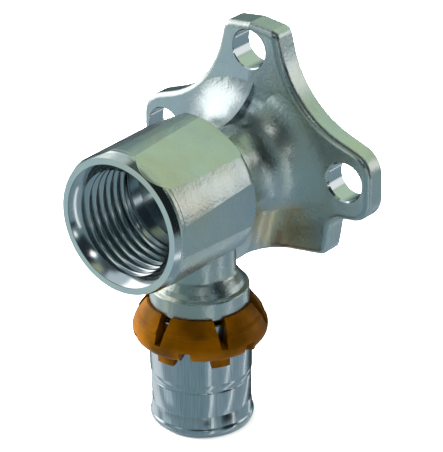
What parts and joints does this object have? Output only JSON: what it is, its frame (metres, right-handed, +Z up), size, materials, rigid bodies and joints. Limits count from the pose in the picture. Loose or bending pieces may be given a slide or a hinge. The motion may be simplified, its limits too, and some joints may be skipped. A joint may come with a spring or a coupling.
{
  "type": "wall plate elbow",
  "caption": "Plated brass elbow on a lugged wall plate, with a threaded socket facing out and a press sleeve joint for pipe below.",
  "frame": {"origin": "where the socket's axis meets the wall plane, on the plate's back face", "axes": "+X to the right seen from the socket's mouth, +Y into the wall, +Z up; the socket opens towards -Y and the pipe joint points along -Z"},
  "size_m": [0.05, 0.0405, 0.07],
  "materials": {
    "plated_body": "tin or nickel plated forging, satin",
    "amber_plastic": "clear amber plastic",
    "stainless_sleeve": "drawn stainless steel, satin",
    "seal_rubber": "matt"
  },
  "bodies": {
    "root": {"elbow_body": "plated_body", "stop_ring": "amber_plastic", "press_sleeve": "stainless_sleeve", "o_ring_upper": "seal_rubber", "o_ring_lower": "seal_rubber"}
  },
  "joints": []
}
